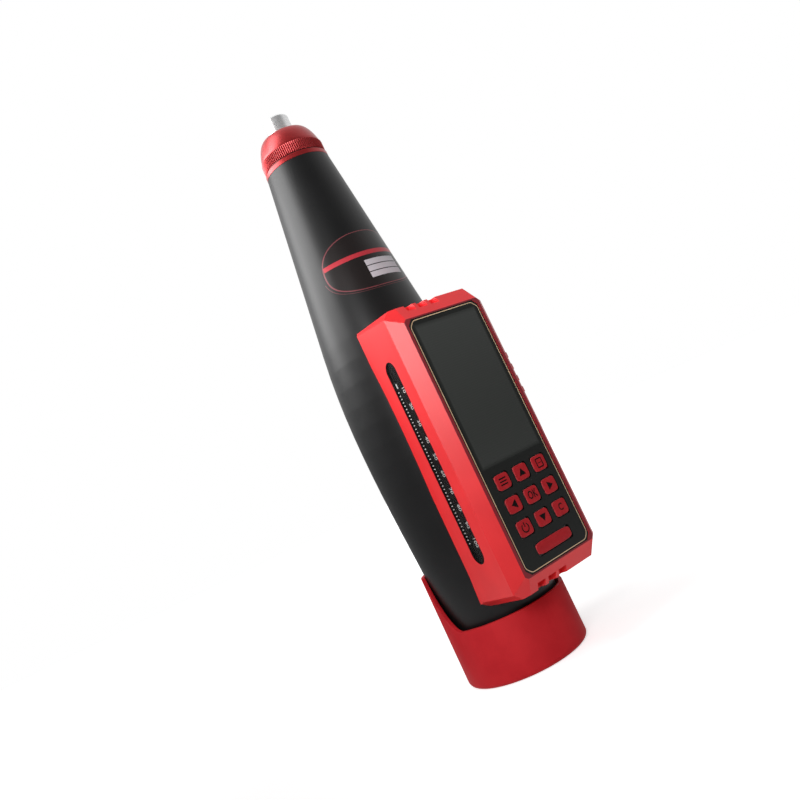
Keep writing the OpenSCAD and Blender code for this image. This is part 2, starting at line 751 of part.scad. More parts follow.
module rider() {
    inner = hammer_radius + clearance;
    outer = rod_offset + rod_radius + 2 * clearance;
    arm_out = housing_wall + 2 * clearance;
    arm_low = rider_arm_u - arm_thickness;
    color("white") {
        rotate([0, 0, -rider_angle]) difference() {
            union() {
                translate([-rider_width / 2, -outer, rider_z - rider_length / 2])
                    cube([rider_width, outer - inner, rider_length]);
                translate([-arm_thickness / 2, -rider_arm_end, rider_z - arm_height / 2])
                    cube([arm_thickness, rider_arm_end - rod_offset - rod_radius, arm_height]);
            }
            translate([0, -rod_offset, 0]) cylinder(r = rod_radius + running_fit, h = total_length);
        }
        on_scale_wall() {
            translate([arm_low, rider_z - arm_height / 2, -arm_out - arm_thickness])
                cube([flag_u + arm_thickness / 2 - arm_low, arm_height, arm_thickness]);
            translate([flag_u - arm_thickness / 2, rider_z - arm_height / 2, -arm_out - arm_thickness])
                cube([arm_thickness, arm_height, arm_out + arm_thickness - window_thickness - clearance]);
        }
    }
}

module obround(half, length) {
    square([2 * half, length - 2 * half], center = true);
    for (side = [-1, 1]) translate([0, side * (length / 2 - half)]) circle(r = half);
}

module scale_window() {
    color("lightsteelblue", 0.4) on_scale_wall() translate([0, panel_mid_z, -window_thickness])
        linear_extrude(window_thickness) obround(window_half, window_length);
}

module scale_plate() {
    color("black") on_scale_wall() translate([0, panel_mid_z, -window_depth])
        linear_extrude(plate_thickness) intersection() {
            obround(window_half, window_length);
            translate([-window_half * plate_edge_share, -window_length]) square([window_length, 2 * window_length]);
        }
}

// Display housing

module housing_section(wall) {
    tilt_wall = wall / cos(wall_angle);
    polygon([
        [-housing_foot_half + tilt_wall, 0], [-housing_foot_half + tilt_wall, -housing_foot],
        [-housing_half + tilt_wall, -housing_front + side_chamfer_depth],
        [-front_half + wall / 2, -housing_front + wall], [front_half - wall / 2, -housing_front + wall],
        [housing_half - tilt_wall, -housing_front + side_chamfer_depth],
        [housing_foot_half - tilt_wall, -housing_foot], [housing_foot_half - tilt_wall, 0]
    ]);
}

// Side view of the housing, with slanted ends at the display.
module housing_side(wall, ends) {
    low = housing_bottom_z + ends;
    high = housing_top_z - ends;
    front = -housing_front + wall;
    lean_at_axis = end_lean * (housing_front - end_chamfer_depth) / (housing_front - end_chamfer_depth - housing_foot);
    polygon([
        [0, low - lean_at_axis], [front + end_chamfer_depth, low], [front, low + end_chamfer],
        [front, high - end_chamfer], [front + end_chamfer_depth, high], [0, high + lean_at_axis]
    ]);
}

module housing_solid(wall, ends) {
    intersection() {
        linear_extrude(total_length) housing_section(wall);
        across(2 * housing_half) housing_side(wall, ends);
    }
}

// Everything outside the plane through three points at one end of the housing.
module end_cut(a, b, c, end) {
    normal = cross(b - a, c - a);
    beyond(a, normal.z * end > 0 ? normal : -normal);
}

// Slants around both ends: one on each side wall and one on each corner of the front.
module end_slants() {
    shoulder = -housing_front + side_chamfer_depth;
    for (x = [-1, 1], end = [-1, 1]) {
        end_z = panel_mid_z + end * housing_length / 2;
        slant = x > 0 ? plain_slant : end_slant;
        run = x > 0 ? plain_run : slant_run;
        foot_slant = end > 0 ? top_foot_slant : end_slant;
        foot_z = end_z + end * (end_lean - foot_slant);
        wall_point = [x * housing_half, shoulder, end_z - end * slant];
        end_point = [x * (housing_half - run), shoulder, end_z];
        end_cut(wall_point, end_point, [x * housing_foot_half, -housing_foot, foot_z], end);
        end_cut(wall_point, end_point, [x * front_half, -housing_front, end_z - end * (end_chamfer + corner_drop)], end);
    }
}

// Space beside the narrower foot, under the edges of the side walls.
module foot_steps() {
    for (side = [0, 1]) mirror([side, 0, 0])
        translate([housing_foot_half - foot_inset, -housing_foot, housing_bottom_z - overrun - 2 * end_lean])
            cube([foot_inset + overrun, housing_foot + overrun, housing_length + 2 * overrun + 4 * end_lean]);
}

module end_notches() {
    start = -notch_shift - notch_pitch * (notch_count - 1) / 2;
    for (i = [0 : notch_count - 1], end = [-1, 1])
        translate([start + i * notch_pitch, -housing_front + end_chamfer_depth, panel_mid_z + end * housing_length / 2])
            cube([notch_width, 2 * end_chamfer_depth, 2 * notch_depth], center = true);
}

// Ribs that stand a little out of the plain side wall and run over its upper edge.
module grip_ribs() {
    span = grip_pitch * (grip_count - 1);
    shoulder = -housing_front + side_chamfer_depth;
    start = [housing_foot_half + housing_wall_run * grip_share, -housing_foot - housing_wall_rise * grip_share];
    for (i = [0 : grip_count - 1])
        translate([0, 0, panel_mid_z + grip_rise - span / 2 + i * grip_pitch - grip_thickness / 2])
            linear_extrude(grip_thickness) polygon([
                start, start + [grip_height, -2 * grip_height], [housing_half + grip_height, shoulder],
                [housing_half - side_chamfer / 2, shoulder - side_chamfer_depth / 2], [front_half, shoulder]
            ]);
}

module panel_outline(inset) {
    bevelled_rectangle(panel_width - 2 * inset, panel_low_z + inset, panel_low_z + panel_length - inset, panel_bevel);
}

module display_housing() {
    color("red") difference() {
        union() {
            difference() {
                housing_solid(0, 0);
                end_slants();
                foot_steps();
                end_notches();
            }
            grip_ribs();
        }
        difference() {
            housing_solid(housing_wall, end_wall);
            slab(panel_back - housing_wall, housing_wall + overrun) difference() {
                square(reach, center = true);
                panel_outline(panel_ledge);
            }
        }
        slab(panel_back, panel_thickness + overrun) panel_outline(0);
        slab(board_back, housing_front) panel_outline(panel_ledge);
        on_scale_wall() translate([0, panel_mid_z, -window_depth])
            linear_extrude(window_depth + overrun) obround(window_half, window_length);
        on_scale_wall() translate([0, panel_mid_z, -2 * housing_wall])
            linear_extrude(2 * housing_wall) obround(window_half - window_ledge, window_length - 2 * window_ledge);
        tube_solid();
    }
}

// Front panel, display and keys

function key_x(column) = key_shift + column * key_column_pitch;
function key_z(row) = key_mid_z + row * key_row_pitch;

module key_shape(grow) {
    rounded_rectangle(key_width + 2 * grow, key_height + 2 * grow, key_round);
}

module wide_key_shape(grow) {
    rounded_rectangle(wide_key_width + 2 * grow, wide_key_height + 2 * grow, key_round);
}

module front_panel() {
    color("black") difference() {
        slab(panel_back, panel_thickness) difference() {
            panel_outline(0);
            for (column = [-1 : 1], row = [-1 : 1]) translate([key_x(column), key_z(row)]) key_shape(clearance);
            translate([key_shift, wide_key_z]) wide_key_shape(clearance);
        }
        slab(panel_face - display_thickness, panel_thickness) display_outline(0);
    }
}

module display_outline(inset) {
    translate([-display_width / 2 + inset, display_low_z + inset])
        square([display_width - 2 * inset, display_height - 2 * inset]);
}

module display_window() {
    color("darkslategray") slab(panel_face - display_thickness, display_thickness) display_outline(0);
}

module display_module() {
    color("darkgreen") slab(module_back, module_thickness) display_outline(panel_ledge);
}

module keypad_mat() {
    low = wide_key_z - wide_key_height / 2 - key_round;
    high = key_top_z + key_height / 2 + key_round;
    half = key_column_pitch + key_width / 2 + key_round;
    color("gray") slab(panel_back - mat_thickness, mat_thickness)
        translate([key_shift - half, low]) square([2 * half, high - low]);
}

module key_cap(column, row) {
    back = panel_back + clearance + key_travel;
    color("maroon") slab(back, panel_face + key_proud - back) translate([key_x(column), key_z(row)]) key_shape(0);
}

module key_top_left() { key_cap(-1, 1); }
module key_up() { key_cap(0, 1); }
module key_top_right() { key_cap(1, 1); }
module key_left() { key_cap(-1, 0); }
module key_ok() { key_cap(0, 0); }
module key_right() { key_cap(1, 0); }
module key_power() { key_cap(-1, -1); }
module key_down() { key_cap(0, -1); }
module key_clear() { key_cap(1, -1); }

module key_wide() {
    back = panel_back + clearance + key_travel;
    color("maroon") slab(back, panel_face + key_proud - back) translate([key_shift, wide_key_z]) wide_key_shape(0);
}

// Pieces inside the housing

module circuit_board() {
    half = panel_width / 2 - panel_ledge - clearance;
    color("green") slab(board_back, board_thickness)
        translate([-half, panel_low_z + panel_bevel]) square([2 * half, panel_length - 2 * panel_bevel]);
}

module sensor_board() {
    color("green") translate([-saddle_half - 2 * sensor_thickness, -board_back, rider_low_z - rider_length])
        cube([sensor_thickness, sensor_depth, rider_travel + 2 * rider_length]);
}

module mounting_saddle() {
    color("gray") difference() {
        translate([-saddle_half, -saddle_top, saddle_low_z])
            cube([2 * saddle_half, saddle_top - housing_foot, saddle_high_z - saddle_low_z]);
        tube_solid();
        for (z = saddle_screw_heights) translate([0, 0, z]) rotate([90, 0, 0])
            cylinder(r = saddle_screw_radius, h = 2 * saddle_top);
    }
}

module saddle_screws() {
    color("silver") for (z = saddle_screw_heights) translate([0, -bore_radius - clearance, z]) rotate([90, 0, 0])
        cylinder(r = saddle_screw_radius, h = saddle_top - bore_radius - clearance);
}

module battery() {
    color("steelblue") translate([-saddle_half, -saddle_top - battery_thickness, battery_low_z])
        cube([2 * saddle_half, battery_thickness, battery_length]);
}

module speaker() {
    color("dimgray") translate([0, -board_back, key_low_z]) rotate([-90, 0, 0]) {
        cylinder(r = speaker_radius, h = speaker_thickness * speaker_share);
        cylinder(r = speaker_radius * speaker_share, h = speaker_thickness);
    }
}

// Lock button at the back

module lock_button() {
    tip = bore_radius + clearance;
    head_low = tube_rear_radius + button_travel + clearance;
    color("dimgray") translate([0, 0, pawl_pin_z]) rotate([-90, 0, 0]) {
        translate([0, 0, tip]) cylinder(r = button_stem_radius, h = head_low - tip);
        translate([0, 0, head_low]) cylinder(r = button_radius, h = button_head);
    }
}

module lock_spring() {
    length = button_travel + clearance;
    color("silver") translate([0, tube_rear_radius, pawl_pin_z]) rotate([-90, 0, 0])
        coil(button_stem_radius + running_fit + fine_wire / 2, fine_wire, length, button_turns);
}

end_boot();
body_tube();
rear_cover();
trip_screw();
trip_lock_nut();
main_spring();
nose_cap();
guide_sleeve();
two_part_ring();
felt_seal();
impact_spring();
impact_plunger();
buffer_spring();
guide_bar();
guide_disk();
pawl();
pawl_pin();
pawl_spring();
hammer_mass();
rider_rod();
rider();
lock_button();
lock_spring();
display_housing();
scale_window();
scale_plate();
front_panel();
display_window();
display_module();
keypad_mat();
circuit_board();
sensor_board();
battery();
speaker();
mounting_saddle();
saddle_screws();
key_top_left();
key_up();
key_top_right();
key_left();
key_ok();
key_right();
key_power();
key_down();
key_clear();
key_wide();
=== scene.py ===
"""Looks of a rebound hammer for testing concrete: camera, light, finishes and fine detail on its solids.

Lengths are in metres in the solids' frame: +Z along the tube to the nose, -Y out of the display,
-X out of the scale window.
"""

import json
import math

import bmesh
import bpy
import numpy as np
from mathutils import Matrix, Vector


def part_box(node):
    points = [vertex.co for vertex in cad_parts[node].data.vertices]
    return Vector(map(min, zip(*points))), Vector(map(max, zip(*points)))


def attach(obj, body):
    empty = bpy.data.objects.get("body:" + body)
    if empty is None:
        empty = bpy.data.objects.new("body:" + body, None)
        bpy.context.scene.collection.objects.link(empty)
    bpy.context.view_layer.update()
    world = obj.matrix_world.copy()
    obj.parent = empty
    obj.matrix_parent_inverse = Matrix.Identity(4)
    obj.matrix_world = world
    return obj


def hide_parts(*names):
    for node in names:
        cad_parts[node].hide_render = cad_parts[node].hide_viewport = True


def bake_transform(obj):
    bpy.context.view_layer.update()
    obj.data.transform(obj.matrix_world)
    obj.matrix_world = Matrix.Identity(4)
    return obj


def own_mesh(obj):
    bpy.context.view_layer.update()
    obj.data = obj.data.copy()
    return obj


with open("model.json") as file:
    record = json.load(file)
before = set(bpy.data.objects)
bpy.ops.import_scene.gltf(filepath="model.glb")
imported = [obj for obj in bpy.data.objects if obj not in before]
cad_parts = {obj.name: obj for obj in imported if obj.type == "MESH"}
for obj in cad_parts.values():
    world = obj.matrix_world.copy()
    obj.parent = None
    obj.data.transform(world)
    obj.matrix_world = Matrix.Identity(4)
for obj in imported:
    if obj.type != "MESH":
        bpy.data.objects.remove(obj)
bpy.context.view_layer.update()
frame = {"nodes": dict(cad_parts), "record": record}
nodes = frame["nodes"]
scene = bpy.context.scene

MM = 0.001
TURN = 2 * math.pi
BLACK = (0, 0, 0, 1)
WHITE = (1, 1, 1, 1)

# Picture and camera
PICTURE_PIXELS = 800
FOCAL_PIXELS = 799.43
SENSOR_WIDTH = 36.0
NEAR_CLIP = 10 * MM
EYE = Vector((-0.21474, -0.29433, 0.09504))
FORWARD = Vector((0.5806, 0.8091, 0.0911)).normalized()
RIGHT = FORWARD.cross(Vector((0.2978, -0.3151, 0.9011))).normalized()
UP = RIGHT.cross(FORWARD)

# Nose cap, as its solid has it
TUBE_FRONT = 247 * MM
NOSE_FRONT = 264 * MM
LIP_RADIUS = 15.6 * MM
LIP_HEIGHT = 2.3 * MM
GROOVE_WIDTH = 0.6 * MM
GROOVE_DEPTH = 0.7 * MM
KNURL_HEIGHT = 5 * MM
NOSE_FRONT_RADIUS = 11.2 * MM
NOSE_BEVEL = 0.6 * MM
SHOULDER_DROP = 3.2 * MM
SPIGOT_RADIUS = 12.6 * MM
SPIGOT_LENGTH = 7 * MM
POCKET_RADIUS = 10.2 * MM
POCKET_END = 257.05 * MM
GUIDE_RADIUS = 6.15 * MM

# Scale window on the housing's leaning side wall
WALL_LEAN = math.radians(8.104)
WINDOW_X = -24.379 * MM
WINDOW_Y = -31.86 * MM
WINDOW_MID = 95.9 * MM
WINDOW_HALF = 4.4 * MM
WINDOW_LENGTH = 89.6 * MM
WINDOW_STRAIGHT_HALF = WINDOW_LENGTH / 2 - WINDOW_HALF
PLATE_DEPTH = 0.6 * MM
PLATE_GAP = 0.1 * MM
SCALE_ZERO = 135.26 * MM
SCALE_DIVISION = 0.75 * MM
SCALE_FIRST = 10
SCALE_LAST = 100

# Label on the tube's front
LABEL_MIDDLE = 189.4 * MM
LABEL_HALF_HEIGHT = 14 * MM
LABEL_HALF_TURN = math.radians(62)
LABEL_POWER = 2.4
OUTER_LINE_TOP = 186 * MM
BAND_HEIGHT = 192.2 * MM
BAND_HALF = 1.05 * MM
BAND_SHARE = 0.965
BAR_START = 179.9 * MM
BAR_PITCH = 3.1 * MM
BAR_SHARE = 0.86
BAR_COUNT = 3
BAR_TURNS = (math.radians(-13), math.radians(32))

PRINT_LIFT = 0.012 * MM


# Shader expressions

class Signal:
    """A shader socket; arithmetic on it adds Math nodes to its tree."""

    def __init__(self, tree, socket):
        self.tree = tree
        self.socket = socket

    def math(self, operation, *values):
        return self.tree.node("Math", {"operation": operation}, dict(enumerate(values)))

    def __add__(self, other):
        return self.math("ADD", self, other)

    def __radd__(self, other):
        return self.math("ADD", other, self)

    def __sub__(self, other):
        return self.math("SUBTRACT", self, other)

    def __rsub__(self, other):
        return self.math("SUBTRACT", other, self)

    def __mul__(self, other):
        return self.math("MULTIPLY", self, other)

    def __rmul__(self, other):
        return self.math("MULTIPLY", other, self)

    def __truediv__(self, other):
        return self.math("DIVIDE", self, other)

    def __pow__(self, other):
        return self.math("POWER", self, other)

    def __neg__(self):
        return self.math("MULTIPLY", self, -1)

    def __abs__(self):
        return self.math("ABSOLUTE", self)

    def __lt__(self, other):
        return self.math("LESS_THAN", self, other)

    def __gt__(self, other):
        return self.math("GREATER_THAN", self, other)

    def at_least(self, other):
        return self.math("MAXIMUM", self, other)


class NodeTree:
    """A node tree to which nodes are added as expressions."""

    def __init__(self, tree):
        self.tree = tree

    def node(self, kind, settings=None, inputs=None, output=0):
        """Any node: its settings come first, then the values or links of its sockets."""
        made = self.tree.nodes.new("ShaderNode" + kind)
        for name, value in (settings or {}).items():
            setattr(made, name, value)
        for name, value in (inputs or {}).items():
            if isinstance(value, Signal):
                self.tree.links.new(value.socket, made.inputs[name])
            else:
                made.inputs[name].default_value = value
        return Signal(self, made.outputs[output])

    def link(self, signal, socket):
        self.tree.links.new(signal.socket, socket)

    def mix(self, factor, first, second):
        """A colour that goes from the first to the second with the factor."""
        return self.node("Mix", {"data_type": "RGBA"}, {0: factor, 6: first, 7: second}, output=2)

    def ramp(self, signal, low, high):
        """0 below low, 1 above high, smooth between them."""
        return self.node("MapRange", {"interpolation_type": "SMOOTHSTEP"},
                         {"Value": signal, "From Min": low, "From Max": high})

    def dot(self, direction, axis):
        """How far a direction points along a fixed axis."""
        return self.node("VectorMath", {"operation": "DOT_PRODUCT"}, {0: direction, 1: axis}, "Value")

    def light_path(self):
        """Two masks: camera rays, and camera, mirror and glass rays, which all see the pale ground."""
        camera = self.node("LightPath", output="Is Camera Ray")
        outputs = camera.socket.node.outputs
        mirror = Signal(self, outputs["Is Glossy Ray"])
        glass = Signal(self, outputs["Is Transmission Ray"])
        return camera, camera.at_least(mirror.at_least(glass))


class Finish(NodeTree):
    """A procedural material: one Principled shader, its constant sockets and what feeds the rest."""

    def __init__(self, name, **constants):
        self.material = bpy.data.materials.new(name)
        self.material.use_nodes = True
        super().__init__(self.material.node_tree)
        self.shader = self.tree.nodes["Principled BSDF"]
        for socket, value in constants.items():
            self.shader.inputs[socket.replace("_", " ")].default_value = value
        self.place = self.node("TexCoord", output="Object")
        first = self.node("SeparateXYZ", {}, {0: self.place})
        self.x, self.y, self.z = (Signal(self, socket) for socket in first.socket.node.outputs)

    def feed(self, **signals):
        for socket, signal in signals.items():
            self.link(signal, self.shader.inputs[socket.replace("_", " ")])
        return self

    def noise(self, grain, detail=3.0, stretch=(1, 1, 1)):
        """Noise with blobs about one grain wide, drawn out along an axis that has a small stretch."""
        spread = self.node("Mapping", {}, {"Vector": self.place, "Scale": stretch})
        return self.node("TexNoise", {}, {"Vector": spread, "Scale": 1 / grain, "Detail": detail})

    def bump(self, height, distance):
        made = self.node("Bump", {}, {"Height": height, "Distance": distance, "Strength": 1.0})
        return self.feed(Normal=made)


# Finishes

def colour(red, green, blue):
    """A display colour of 0 to 255 as the linear colour that a shader takes."""
    share = np.array([red, green, blue]) / 255
    linear = np.where(share <= 0.04045, share / 12.92, ((share + 0.055) / 1.055) ** 2.4)
    return (*linear.tolist(), 1.0)


def mottled(name, dark, light, grain, rough=(0.4, 0.5), relief=0.0, stretch=(1, 1, 1), **constants):
    """A finish between two shades of one colour, with grain in its shade, roughness and relief."""
    grains_per_cloud = 30
    finish = Finish(name, **constants)
    grains = finish.noise(grain, stretch=stretch)
    broad = finish.noise(grains_per_cloud * grain, detail=2.0)
    finish.feed(Base_Color=finish.mix(finish.ramp(0.6 * grains + 0.4 * broad, 0.35, 0.65), dark, light))
    finish.feed(Roughness=rough[0] + (rough[1] - rough[0]) * grains)
    if relief:
        finish.bump(grains, relief)
    return finish


def tube_finish():
    """Satin black coating with a fine peel, and the plain label at the front.

    The label is the oval |across|^n + |along|^n = 1, with a thin line just inside its edge, a fainter one
    outside its lower part, a red band across it and three bare silver bars.
    """
    finish = Finish("tube_black", Specular_IOR_Level=0.32)
    peel = finish.noise(0.5 * MM)
    broad = finish.noise(14 * MM, detail=2.0)
    turn = finish.x.math("ARCTAN2", finish.x, -finish.y)
    across = turn / LABEL_HALF_TURN
    along = (finish.z - LABEL_MIDDLE) / LABEL_HALF_HEIGHT
    oval = (abs(across) ** LABEL_POWER + abs(along) ** LABEL_POWER) ** (1 / LABEL_POWER)
    inside = oval < 1.0
    inner_line = abs(oval - 0.985) < 0.013
    outer_line = (abs(oval - 1.05) < 0.008) * (finish.z < OUTER_LINE_TOP)
    band = (abs(finish.z - BAND_HEIGHT) < BAND_HALF) * (abs(across) < BAND_SHARE)
    bar_place = (finish.z - BAR_START) / BAR_PITCH
    bars = (bar_place > 0) * (bar_place < BAR_COUNT) * (bar_place.math("FRACT", bar_place) < BAR_SHARE)
    bars = bars * (turn > BAR_TURNS[0]) * (turn < BAR_TURNS[1])
    cloud = finish.ramp(0.7 * broad + 0.3 * peel, 0.3, 0.7)
    coating = finish.mix(cloud, colour(9, 9, 10), colour(14, 14, 15))
    label_ground = colour(30, 20, 19)
    line_red = colour(136, 66, 72)
    band_red = finish.mix(peel, colour(170, 40, 52), colour(192, 54, 64))
    bar_silver = finish.mix(peel, colour(186, 181, 188), colour(205, 201, 206))
    shade = finish.mix(inside * 0.6, coating, label_ground)
    shade = finish.mix((inner_line + 0.5 * outer_line) * 0.75, shade, line_red)
    shade = finish.mix(band, shade, band_red)
    shade = finish.mix(bars, shade, bar_silver)
    finish.feed(Base_Color=shade, Roughness=0.36 + 0.1 * peel + 0.06 * bars - 0.05 * inside)
    return finish.bump(peel, 0.012 * MM)


def housing_finish():
    """Moulded red plastic with a fine sparked texture.

    Painted shade darkens the narrow front band around the panel, and painted shade turns the sides of the
    scale window's opening near black.
    """
    rim_depth = 0.04 * MM
    rebate_margin = 0.2 * MM
    rebate_start = 0.1 * MM
    rebate_end = 5 * MM
    finish = Finish("housing_red", Specular_IOR_Level=0.42)
    spark = finish.noise(0.28 * MM)
    flow = finish.noise(22 * MM, detail=2.0)
    # Painted shade: the narrow front band around the panel is darkened to a deep red.
    rim_painted_light = finish.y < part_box("display_housing")[0].y + rim_depth
    sine, cosine = math.sin(WALL_LEAN), math.cos(WALL_LEAN)
    inward = (finish.x - WINDOW_X) * cosine + (WINDOW_Y - finish.y) * sine
    rise = (WINDOW_X - finish.x) * sine + (WINDOW_Y - finish.y) * cosine
    beyond = (abs(finish.z - WINDOW_MID) - WINDOW_STRAIGHT_HALF).at_least(0)
    in_window = (beyond ** 2 + rise ** 2) ** 0.5 < WINDOW_HALF + rebate_margin
    # Painted shade: the sides of the scale window's opening, inside the wall, are turned near black.
    rebate_painted_shade = in_window * (inward > rebate_start) * (inward < rebate_end)
    cloud = finish.ramp(0.8 * flow + 0.2 * spark, 0.3, 0.7)
    red = finish.mix(cloud, colour(216, 33, 38), colour(228, 40, 44))
    shade = finish.mix(rim_painted_light, red, colour(130, 22, 34))
    shade = finish.mix(rebate_painted_shade, shade, colour(12, 10, 10))
    finish.feed(Base_Color=shade, Roughness=0.32 + 0.1 * spark)
    return finish.bump(spark, 0.006 * MM)


def boot_finish():
    """Matt red elastomer, a little dusty."""
    finish = Finish("boot_red", Specular_IOR_Level=0.15)
    grain = finish.noise(0.4 * MM)
    dust = finish.noise(12 * MM, detail=4.0)
    dusted = finish.ramp(0.75 * dust + 0.25 * grain, 0.35, 0.7)
    shade = finish.mix(dusted, colour(184, 29, 37), colour(196, 36, 43))
    finish.feed(Base_Color=shade, Roughness=0.58 + 0.14 * grain)
    return finish.bump(grain, 0.02 * MM)


def nose_finish():
    """Red anodised metal with turning lines, and painted shade darkening the groove."""
    finish = Finish("nose_red", Metallic=0.65, Coat_Weight=0.4, Coat_Roughness=0.3)
    lines = finish.noise(0.16 * MM, detail=2.0, stretch=(0.04, 0.04, 1))
    groove_low = TUBE_FRONT + LIP_HEIGHT
    # Painted shade: the groove between lip and knurl is darkened.
    groove_shade = (finish.z > groove_low) * (finish.z < groove_low + GROOVE_WIDTH)
    shade = finish.mix(lines, colour(150, 16, 20), colour(170, 26, 30))
    shade = finish.mix(groove_shade * 0.8, shade, colour(40, 8, 10))
    finish.feed(Base_Color=shade, Roughness=0.34 + 0.1 * lines)
    return finish.bump(lines, 0.006 * MM)


def steel_finish(name, grain, stretch, rough):
    """Bright steel with machining lines along the drawn-out axes."""
    dark, light = colour(214, 215, 216), colour(234, 234, 234)
    return mottled(name, dark, light, grain, rough, 0.0004 * MM, stretch, Metallic=0.75)


def display_finish():
    """Dark display behind glass, with cell rows about 1 mm apart and a darker border."""
    row_scale = 1 / (3.2 * MM)
    finish = Finish("display_dark", Roughness=0.16, Specular_IOR_Level=0.3)
    low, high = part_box("display_window")
    middle = (low + high) / 2
    half = (high - low) / 2
    edge_x = abs(finish.x - middle.x) / half.x
    edge_z = abs(finish.z - middle.z) / half.z
    border = finish.ramp(edge_x.at_least(edge_z), 0.94, 1.0)
    wave = {"Vector": finish.place, "Scale": row_scale}
    rows = finish.node("TexWave", {"bands_direction": "Z"}, wave, "Fac")
    shade = finish.mix(rows * 0.3, colour(53, 55, 53), colour(58, 60, 58))
    return finish.feed(Base_Color=finish.mix(border, shade, colour(39, 41, 39)))


def key_finish():
    """Dark see-through red whose thin edge is paler, a painted highlight along the rolled edge and sides.
    """
    rim_start, rim_full = 0.12 * MM, 0.3 * MM
    finish = Finish("key_red", Specular_IOR_Level=0.2, Coat_Weight=0.04, Coat_Roughness=0.25)
    cloud = finish.noise(2.2 * MM)
    depth = finish.ramp(finish.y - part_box("key_ok")[0].y, rim_start, rim_full)
    top = finish.mix(cloud, colour(156, 20, 28), colour(180, 28, 36))
    # Painted highlight: the rolled edge and sides are paler than the top.
    rim_painted_light = finish.mix(cloud, colour(180, 56, 62), colour(200, 78, 82))
    return finish.feed(Base_Color=finish.mix(depth, top, rim_painted_light), Roughness=0.4 + 0.12 * cloud)


def clear_finish():
    """Clear window: mostly see-through and a little smoky, with a light gloss."""
    finish = Finish("clear_window", Roughness=0.12, IOR=1.45, Specular_IOR_Level=0.2)
    smear = finish.noise(9 * MM)
    shade = finish.mix(smear, colour(14, 14, 15), colour(24, 24, 25))
    return finish.feed(Base_Color=shade, Alpha=0.1 + 0.06 * smear)


def make_finishes():
    """Every finish by the record's material slot, and the inks of the prints."""
    ring_lines = (0.05, 0.05, 1)
    return {
        "boot_red": boot_finish(),
        "tube_black": tube_finish(),
        "cover_alloy": steel_finish("cover_alloy", 0.3 * MM, ring_lines, (0.35, 0.5)),
        "spring_steel": steel_finish("spring_steel", 0.2 * MM, (1, 1, 1), (0.3, 0.45)),
        "screw_steel": steel_finish("screw_steel", 0.2 * MM, ring_lines, (0.25, 0.4)),
        "nose_red": nose_finish(),
        "sleeve_brass": mottled("sleeve_brass", colour(176, 140, 70), colour(198, 160, 88), 0.2 * MM,
                                (0.25, 0.4), 0.004 * MM, ring_lines, Metallic=1.0),
        "felt": mottled("felt", colour(150, 142, 126), colour(182, 174, 158), 0.3 * MM,
                        (0.85, 0.95), 0.08 * MM),
        "hard_steel": steel_finish("hard_steel", 0.18 * MM, ring_lines, (0.2, 0.34)),
        "rider_white": mottled("rider_white", colour(226, 226, 224), colour(240, 240, 238), 0.5 * MM),
        "button_black": mottled("button_black", colour(26, 26, 27), colour(34, 34, 35), 0.3 * MM,
                                (0.4, 0.55), 0.01 * MM),
        "housing_red": housing_finish(),
        "clear_window": clear_finish(),
        "scale_black": mottled("scale_black", colour(11, 9, 9), colour(16, 14, 14), 0.4 * MM,
                               (0.6, 0.75), Specular_IOR_Level=0.15),
        "panel_black": mottled("panel_black", colour(13, 15, 13), colour(19, 21, 19), 0.5 * MM,
                               (0.38, 0.48), 0.004 * MM, Specular_IOR_Level=0.25),
        "display_dark": display_finish(),
        "board_green": mottled("board_green", colour(16, 84, 44), colour(26, 104, 58), 0.6 * MM,
                               (0.4, 0.55), 0.01 * MM),
        "module_dark": mottled("module_dark", colour(38, 38, 40), colour(50, 50, 52), 0.4 * MM),
        "mat_grey": mottled("mat_grey", colour(120, 120, 122), colour(138, 138, 140), 0.4 * MM,
                            (0.6, 0.75)),
        "battery_blue": mottled("battery_blue", colour(48, 62, 130), colour(60, 76, 150), 1.5 * MM),
        "key_red": key_finish(),
        "legend_ink": mottled("legend_ink", colour(5, 2, 3), colour(9, 3, 4), 0.4 * MM,
                              (0.5, 0.65), Specular_IOR_Level=0.1),
        "line_ink": mottled("line_ink", colour(214, 180, 140), colour(232, 200, 162), 0.6 * MM,
                            (0.35, 0.5)),
        "scale_ink": mottled("scale_ink", colour(232, 228, 226), colour(248, 245, 243), 0.5 * MM,
                             (0.45, 0.6)),
    }


def dress_nodes(finishes):
    """Every solid takes the finish of its slot."""
    for part in frame["record"]["subparts"]:
        materials = nodes[part["node"]].data.materials
        materials.clear()
        materials.append(finishes[part["material_slot"]].material)


# Meshes

def make_piece(name, points, faces, finish, body, smooth=True):
    """A mesh object from vertex and face arrays, with its finish, riding on its body."""
    mesh = bpy.data.meshes.new(name)
    mesh.from_pydata(np.asarray(points).tolist(), [], [list(face) for face in faces])
    mesh.polygons.foreach_set("use_smooth", np.full(len(mesh.polygons), smooth))
    mesh.materials.append(finish.material)
    mesh.update()
    piece = bpy.data.objects.new(name, mesh)
    scene.collection.objects.link(piece)
    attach(piece, body)
    return piece


def merged_copy(node, name, finish):
    """A piece that stands for a solid, with a copy of its mesh whose doubled corners are merged."""
    merge_distance = 0.001 * MM
    mesh = nodes[node].data.copy()
    mesh.name = name
    mesh.materials.clear()
    mesh.materials.append(finish.material)
    shape = bmesh.new()
    shape.from_mesh(mesh)
    bmesh.ops.remove_doubles(shape, verts=shape.verts, dist=merge_distance)
    shape.to_mesh(mesh)
    shape.free()
    piece = bpy.data.objects.new(name, mesh)
    scene.collection.objects.link(piece)
    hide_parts(node)
    return piece


def shade_by_angle(piece, limit):
    """Edges that turn more than the limit stay sharp and the rest is shaded smooth."""
    shape = bmesh.new()
    shape.from_mesh(piece.data)
    for edge in shape.edges:
        edge.smooth = len(edge.link_faces) == 2 and edge.calc_face_angle(0.0) < limit
    shape.to_mesh(piece.data)
    shape.free()


